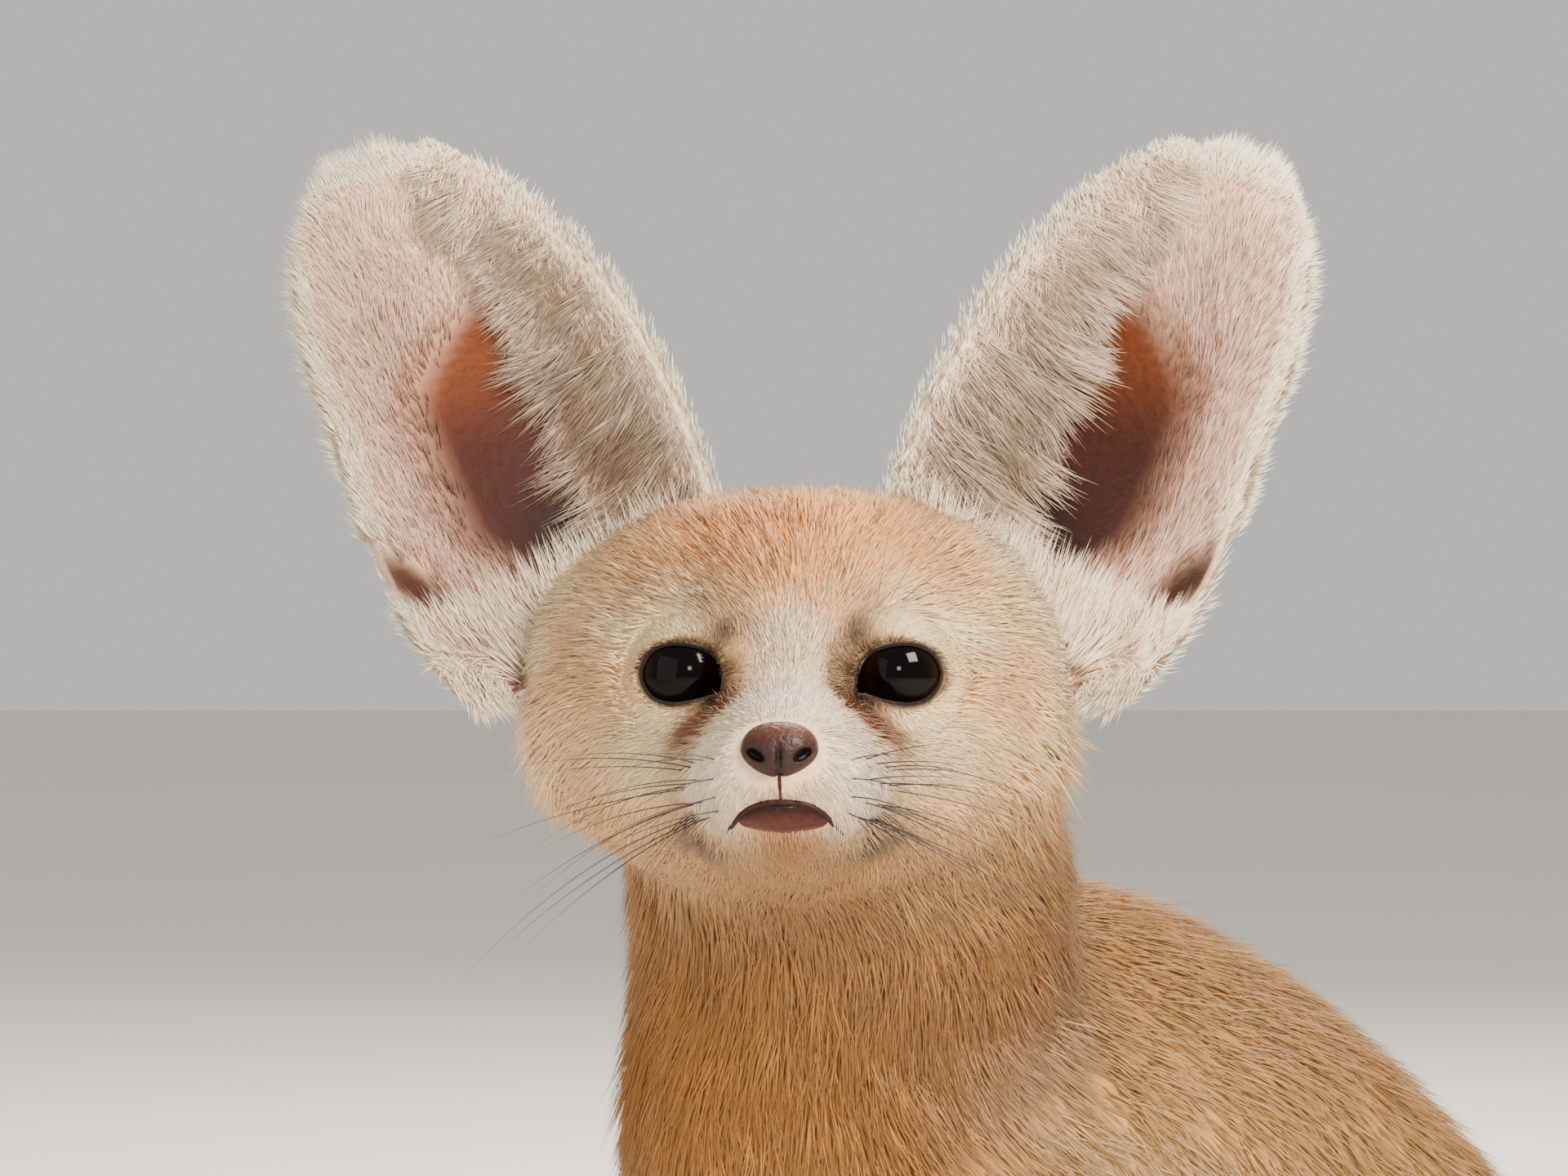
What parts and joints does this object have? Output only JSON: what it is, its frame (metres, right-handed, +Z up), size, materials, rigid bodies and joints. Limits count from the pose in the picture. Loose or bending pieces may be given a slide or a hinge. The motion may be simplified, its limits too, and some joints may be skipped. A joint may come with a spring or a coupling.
{
  "type": "fennec fox",
  "caption": "Life-size young fennec fox sitting upright, very large cupped ears, head raised to the viewer, bushy tail laid round its haunch.",
  "frame": {"origin": "middle of the base of the bounding box, on the floor that the fox sits on", "axes": "+Z up, the face looks towards -Y, the fox's own left side is towards +X"},
  "size_m": [0.2306, 0.162, 0.2385],
  "materials": {
    "coat": "soft sandy fur",
    "pale_coat": "short cream fur",
    "dark_coat": "dark brown fur",
    "nose_leather": "moist pebbled skin",
    "eye": "wet and glossy"
  },
  "bodies": {
    "root": {"head": "coat", "nose": "nose_leather", "eye_right": "eye", "eye_left": "eye", "ear_right": "pale_coat", "ear_left": "pale_coat", "neck": "coat", "foreleg_right": "coat", "foreleg_left": "coat", "forepaw_right": "pale_coat", "forepaw_left": "pale_coat", "thigh_right": "coat", "thigh_left": "coat", "hindfoot_right": "pale_coat", "hindfoot_left": "pale_coat", "torso": "coat", "tail_base": "coat", "tail_middle": "coat", "tail_tip": "dark_coat"}
  },
  "joints": []
}
